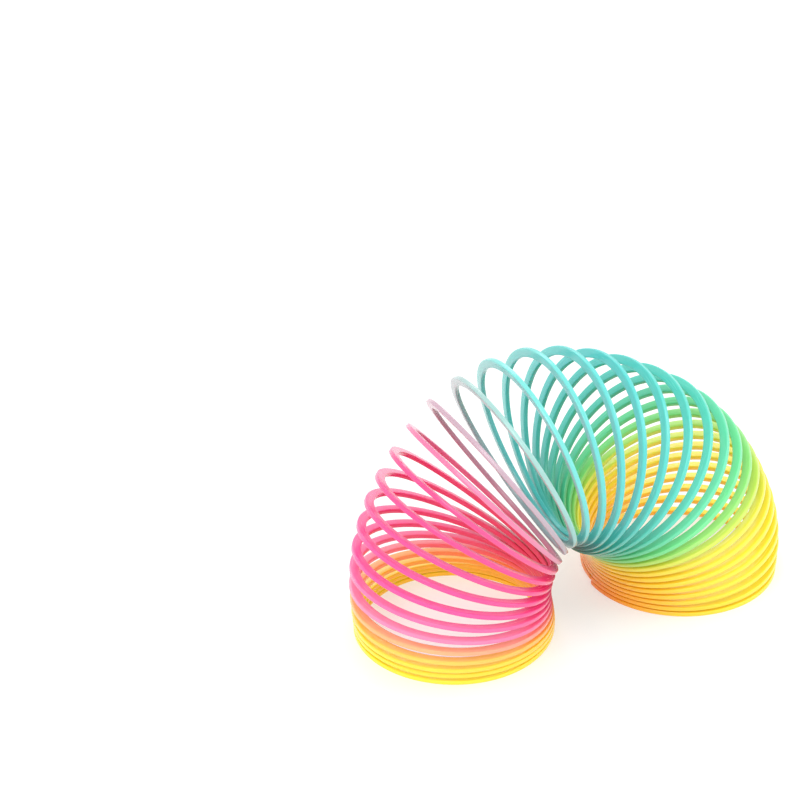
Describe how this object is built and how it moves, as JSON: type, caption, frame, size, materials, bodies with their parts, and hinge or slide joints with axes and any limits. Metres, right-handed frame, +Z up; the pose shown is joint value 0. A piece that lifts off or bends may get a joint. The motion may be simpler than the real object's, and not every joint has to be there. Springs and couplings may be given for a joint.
{
  "type": "spring coil toy",
  "caption": "Plastic rainbow coil spring standing as an arch on its two end turns; its turns fan apart over the crown and can fold up into a short stack.",
  "frame": {"origin": "on the ground, below the middle of the bounding box of the standing arch", "axes": "+X from the left foot to the right foot, +Y to the back, +Z up"},
  "size_m": [0.1764, 0.0924, 0.1099],
  "materials": {
    "plastic_01": "glossy moulded plastic",
    "plastic_02": "glossy moulded plastic",
    "plastic_03": "glossy moulded plastic",
    "plastic_04": "glossy moulded plastic",
    "plastic_05": "glossy moulded plastic",
    "plastic_06": "glossy moulded plastic",
    "plastic_07": "glossy moulded plastic",
    "plastic_08": "glossy moulded plastic",
    "plastic_09": "glossy moulded plastic",
    "plastic_10": "glossy moulded plastic",
    "plastic_11": "glossy moulded plastic",
    "plastic_12": "glossy moulded plastic",
    "plastic_13": "glossy moulded plastic",
    "plastic_14": "glossy moulded plastic",
    "plastic_15": "glossy moulded plastic",
    "plastic_16": "glossy moulded plastic",
    "plastic_17": "glossy moulded plastic",
    "plastic_18": "glossy moulded plastic",
    "plastic_19": "glossy moulded plastic",
    "plastic_20": "glossy moulded plastic",
    "plastic_21": "glossy moulded plastic",
    "plastic_22": "glossy moulded plastic",
    "plastic_23": "glossy moulded plastic",
    "plastic_24": "glossy moulded plastic",
    "plastic_25": "glossy moulded plastic",
    "plastic_26": "glossy moulded plastic",
    "plastic_27": "glossy moulded plastic",
    "plastic_28": "glossy moulded plastic",
    "plastic_29": "glossy moulded plastic",
    "plastic_30": "glossy moulded plastic",
    "plastic_31": "glossy moulded plastic",
    "plastic_32": "glossy moulded plastic",
    "plastic_33": "glossy moulded plastic",
    "plastic_34": "glossy moulded plastic"
  },
  "bodies": {
    "turn_01": {"turn_01": "plastic_01"},
    "turn_02": {"turn_02": "plastic_02"},
    "turn_03": {"turn_03": "plastic_03"},
    "turn_04": {"turn_04": "plastic_04"},
    "turn_05": {"turn_05": "plastic_05"},
    "turn_06": {"turn_06": "plastic_06"},
    "turn_07": {"turn_07": "plastic_07"},
    "turn_08": {"turn_08": "plastic_08"},
    "turn_09": {"turn_09": "plastic_09"},
    "turn_10": {"turn_10": "plastic_10"},
    "turn_11": {"turn_11": "plastic_11"},
    "turn_12": {"turn_12": "plastic_12"},
    "turn_13": {"turn_13": "plastic_13"},
    "turn_14": {"turn_14": "plastic_14"},
    "turn_15": {"turn_15": "plastic_15"},
    "turn_16": {"turn_16": "plastic_16"},
    "turn_17": {"turn_17": "plastic_17"},
    "turn_18": {"turn_18": "plastic_18"},
    "turn_19": {"turn_19": "plastic_19"},
    "turn_20": {"turn_20": "plastic_20"},
    "turn_21": {"turn_21": "plastic_21"},
    "turn_22": {"turn_22": "plastic_22"},
    "turn_23": {"turn_23": "plastic_23"},
    "turn_24": {"turn_24": "plastic_24"},
    "turn_25": {"turn_25": "plastic_25"},
    "turn_26": {"turn_26": "plastic_26"},
    "turn_27": {"turn_27": "plastic_27"},
    "turn_28": {"turn_28": "plastic_28"},
    "turn_29": {"turn_29": "plastic_29"},
    "turn_30": {"turn_30": "plastic_30"},
    "turn_31": {"turn_31": "plastic_31"},
    "turn_32": {"turn_32": "plastic_32"},
    "turn_33": {"turn_33": "plastic_33"},
    "turn_34": {"turn_34": "plastic_34"}
  },
  "joints": [
    {"name": "lean_02", "type": "hinge", "parent": "turn_01", "child": "turn_02", "pos_m": [-0.00939, 0.00359, 0.00265], "axis": [0.0016, 1, 0], "range_deg": [-1.05, 0.18]},
    {"name": "lean_03", "type": "hinge", "parent": "turn_02", "child": "turn_03", "pos_m": [-0.01039, 0.00167, 0.00549], "axis": [0.0018, 1, 0.0014], "range_deg": [-1.42, 0.24]},
    {"name": "lean_04", "type": "hinge", "parent": "turn_03", "child": "turn_04", "pos_m": [-0.01151, -0.00011, 0.0086], "axis": [0.0022, 1, 0.0029], "range_deg": [-2.26, 0.37]},
    {"name": "lean_05", "type": "hinge", "parent": "turn_04", "child": "turn_05", "pos_m": [-0.01269, -0.00173, 0.01201], "axis": [0.0028, 1, 0.0047], "range_deg": [-3.1, 0.51]},
    {"name": "lean_06", "type": "hinge", "parent": "turn_05", "child": "turn_06", "pos_m": [-0.0139, -0.00321, 0.01544], "axis": [0.0033, 1, 0.0039], "range_deg": [-3.8, 0.62]},
    {"name": "lean_07", "type": "hinge", "parent": "turn_06", "child": "turn_07", "pos_m": [-0.01503, -0.00453, 0.01858], "axis": [0.0046, 1, 0.0032], "range_deg": [-4.46, 0.72]},
    {"name": "lean_08", "type": "hinge", "parent": "turn_07", "child": "turn_08", "pos_m": [-0.01596, -0.00568, 0.02145], "axis": [0.0058, 1, 0.0024], "range_deg": [-5.11, 0.82]},
    {"name": "left_leg_fan", "type": "hinge", "parent": "turn_08", "child": "turn_09", "pos_m": [-0.01669, -0.00666, 0.02403], "axis": [0.0066, 1, 0.0017], "range_deg": [-5.7, 0.9], "stiffness_Nm_per_rad": 0.02},
    {"name": "lean_10", "type": "hinge", "parent": "turn_09", "child": "turn_10", "pos_m": [-0.01717, -0.00748, 0.02654], "axis": [0.0081, 1, 0.0029], "range_deg": [-6.14, 0.99]},
    {"name": "lean_11", "type": "hinge", "parent": "turn_10", "child": "turn_11", "pos_m": [-0.0173, -0.00813, 0.02913], "axis": [0.0097, 0.9999, 0.0039], "range_deg": [-6.47, 1.04]},
    {"name": "lean_12", "type": "hinge", "parent": "turn_11", "child": "turn_12", "pos_m": [-0.01706, -0.00861, 0.03175], "axis": [0.0112, 0.9999, 0.0049], "range_deg": [-6.89, 1.1]},
    {"name": "lean_13", "type": "hinge", "parent": "turn_12", "child": "turn_13", "pos_m": [-0.01643, -0.00871, 0.03436], "axis": [0.0128, 0.9999, 0.0057], "range_deg": [-7.44, 1.12]},
    {"name": "lean_14", "type": "hinge", "parent": "turn_13", "child": "turn_14", "pos_m": [-0.01541, -0.00821, 0.0369], "axis": [0.0143, 0.9999, 0.0063], "range_deg": [-8.1, 1.22]},
    {"name": "lean_15", "type": "hinge", "parent": "turn_14", "child": "turn_15", "pos_m": [-0.01359, -0.00711, 0.03868], "axis": [0.019, 0.9998, 0.0007], "range_deg": [-8.67, 1.3]},
    {"name": "lean_16", "type": "hinge", "parent": "turn_15", "child": "turn_16", "pos_m": [-0.01086, -0.00541, 0.03888], "axis": [0.0216, 0.9997, -0.0059], "range_deg": [-9.55, 1.44]},
    {"name": "lean_17", "type": "hinge", "parent": "turn_16", "child": "turn_17", "pos_m": [-0.0077, -0.00311, 0.03725], "axis": [0.0218, 0.9997, -0.0131], "range_deg": [-10.21, 1.53]},
    {"name": "crown_fan", "type": "hinge", "parent": "turn_17", "child": "turn_18", "pos_m": [-0.00475, -0.00021, 0.03366], "axis": [0.0189, 0.9996, -0.0204], "range_deg": [-10.1, 1.5], "stiffness_Nm_per_rad": 0.02},
    {"name": "lean_19", "type": "hinge", "parent": "turn_18", "child": "turn_19", "pos_m": [-0.00254, 0.0027, 0.02955], "axis": [0.0157, 0.9998, -0.014], "range_deg": [-10.07, 1.51]},
    {"name": "lean_20", "type": "hinge", "parent": "turn_19", "child": "turn_20", "pos_m": [-0.00082, 0.00502, 0.02643], "axis": [0.0145, 0.9999, -0.0074], "range_deg": [-9.75, 1.46]},
    {"name": "lean_21", "type": "hinge", "parent": "turn_20", "child": "turn_21", "pos_m": [0.00082, 0.00677, 0.02431], "axis": [0.0153, 0.9999, -0.0011], "range_deg": [-9.32, 1.4]},
    {"name": "lean_22", "type": "hinge", "parent": "turn_21", "child": "turn_22", "pos_m": [0.00274, 0.00792, 0.02311], "axis": [0.0182, 0.9998, 0.0042], "range_deg": [-8.1, 1.22]},
    {"name": "lean_23", "type": "hinge", "parent": "turn_22", "child": "turn_23", "pos_m": [0.00479, 0.0085, 0.02217], "axis": [0.0176, 0.9998, 0.0036], "range_deg": [-6.79, 1.03]},
    {"name": "lean_24", "type": "hinge", "parent": "turn_23", "child": "turn_24", "pos_m": [0.00656, 0.00849, 0.021], "axis": [0.0167, 0.9999, 0.0032], "range_deg": [-5.47, 0.83]},
    {"name": "lean_25", "type": "hinge", "parent": "turn_24", "child": "turn_25", "pos_m": [0.00807, 0.00817, 0.01967], "axis": [0.0158, 0.9999, 0.0029], "range_deg": [-4.4, 0.67]},
    {"name": "lean_26", "type": "hinge", "parent": "turn_25", "child": "turn_26", "pos_m": [0.00937, 0.00781, 0.01819], "axis": [0.0149, 0.9999, 0.0025], "range_deg": [-3.93, 0.6]},
    {"name": "lean_27", "type": "hinge", "parent": "turn_26", "child": "turn_27", "pos_m": [0.01051, 0.00741, 0.01653], "axis": [0.0141, 0.9999, 0.0022], "range_deg": [-3.47, 0.53]},
    {"name": "lean_28", "type": "hinge", "parent": "turn_27", "child": "turn_28", "pos_m": [0.0115, 0.00697, 0.01473], "axis": [0.0132, 0.9999, 0.0019], "range_deg": [-3.05, 0.47]},
    {"name": "right_leg_fan", "type": "hinge", "parent": "turn_28", "child": "turn_29", "pos_m": [0.01236, 0.00649, 0.01279], "axis": [0.0122, 0.9999, 0.0018], "range_deg": [-2.7, 0.4], "stiffness_Nm_per_rad": 0.02},
    {"name": "lean_30", "type": "hinge", "parent": "turn_29", "child": "turn_30", "pos_m": [0.01309, 0.00618, 0.01074], "axis": [0.0111, 0.9999, 0.002], "range_deg": [-3, 0.46]},
    {"name": "lean_31", "type": "hinge", "parent": "turn_30", "child": "turn_31", "pos_m": [0.01364, 0.00625, 0.00865], "axis": [0.0097, 0.9999, 0.0028], "range_deg": [-3.32, 0.51]},
    {"name": "lean_32", "type": "hinge", "parent": "turn_31", "child": "turn_32", "pos_m": [0.014, 0.0067, 0.0066], "axis": [0.0083, 1, 0.0036], "range_deg": [-3.7, 0.56]},
    {"name": "lean_33", "type": "hinge", "parent": "turn_32", "child": "turn_33", "pos_m": [0.01415, 0.00753, 0.00459], "axis": [0.0069, 1, 0.0045], "range_deg": [-4.12, 0.63]},
    {"name": "lean_34", "type": "hinge", "parent": "turn_33", "child": "turn_34", "pos_m": [0.0141, 0.00874, 0.00265], "axis": [0.0056, 1, 0.0053], "range_deg": [-1.83, 0.29]}
  ],
  "couplings": [
    {"joint": "lean_02", "follows": "left_leg_fan", "ratio": 0.18},
    {"joint": "lean_03", "follows": "left_leg_fan", "ratio": 0.246},
    {"joint": "lean_04", "follows": "left_leg_fan", "ratio": 0.393},
    {"joint": "lean_05", "follows": "left_leg_fan", "ratio": 0.541},
    {"joint": "lean_06", "follows": "left_leg_fan", "ratio": 0.664},
    {"joint": "lean_07", "follows": "left_leg_fan", "ratio": 0.779},
    {"joint": "lean_08", "follows": "left_leg_fan", "ratio": 0.893},
    {"joint": "lean_10", "follows": "left_leg_fan", "ratio": 1.074},
    {"joint": "lean_11", "follows": "left_leg_fan", "ratio": 1.131},
    {"joint": "lean_12", "follows": "left_leg_fan", "ratio": 1.205},
    {"joint": "lean_13", "follows": "crown_fan", "ratio": 0.735},
    {"joint": "lean_14", "follows": "crown_fan", "ratio": 0.8},
    {"joint": "lean_15", "follows": "crown_fan", "ratio": 0.856},
    {"joint": "lean_16", "follows": "crown_fan", "ratio": 0.944},
    {"joint": "lean_17", "follows": "crown_fan", "ratio": 1.009},
    {"joint": "lean_19", "follows": "crown_fan", "ratio": 0.995},
    {"joint": "lean_20", "follows": "crown_fan", "ratio": 0.963},
    {"joint": "lean_21", "follows": "crown_fan", "ratio": 0.921},
    {"joint": "lean_22", "follows": "crown_fan", "ratio": 0.8},
    {"joint": "lean_23", "follows": "crown_fan", "ratio": 0.67},
    {"joint": "lean_24", "follows": "right_leg_fan", "ratio": 2.017},
    {"joint": "lean_25", "follows": "right_leg_fan", "ratio": 1.621},
    {"joint": "lean_26", "follows": "right_leg_fan", "ratio": 1.448},
    {"joint": "lean_27", "follows": "right_leg_fan", "ratio": 1.276},
    {"joint": "lean_28", "follows": "right_leg_fan", "ratio": 1.121},
    {"joint": "lean_30", "follows": "right_leg_fan", "ratio": 1.103},
    {"joint": "lean_31", "follows": "right_leg_fan", "ratio": 1.224},
    {"joint": "lean_32", "follows": "right_leg_fan", "ratio": 1.362},
    {"joint": "lean_33", "follows": "right_leg_fan", "ratio": 1.517},
    {"joint": "lean_34", "follows": "right_leg_fan", "ratio": 0.672}
  ]
}
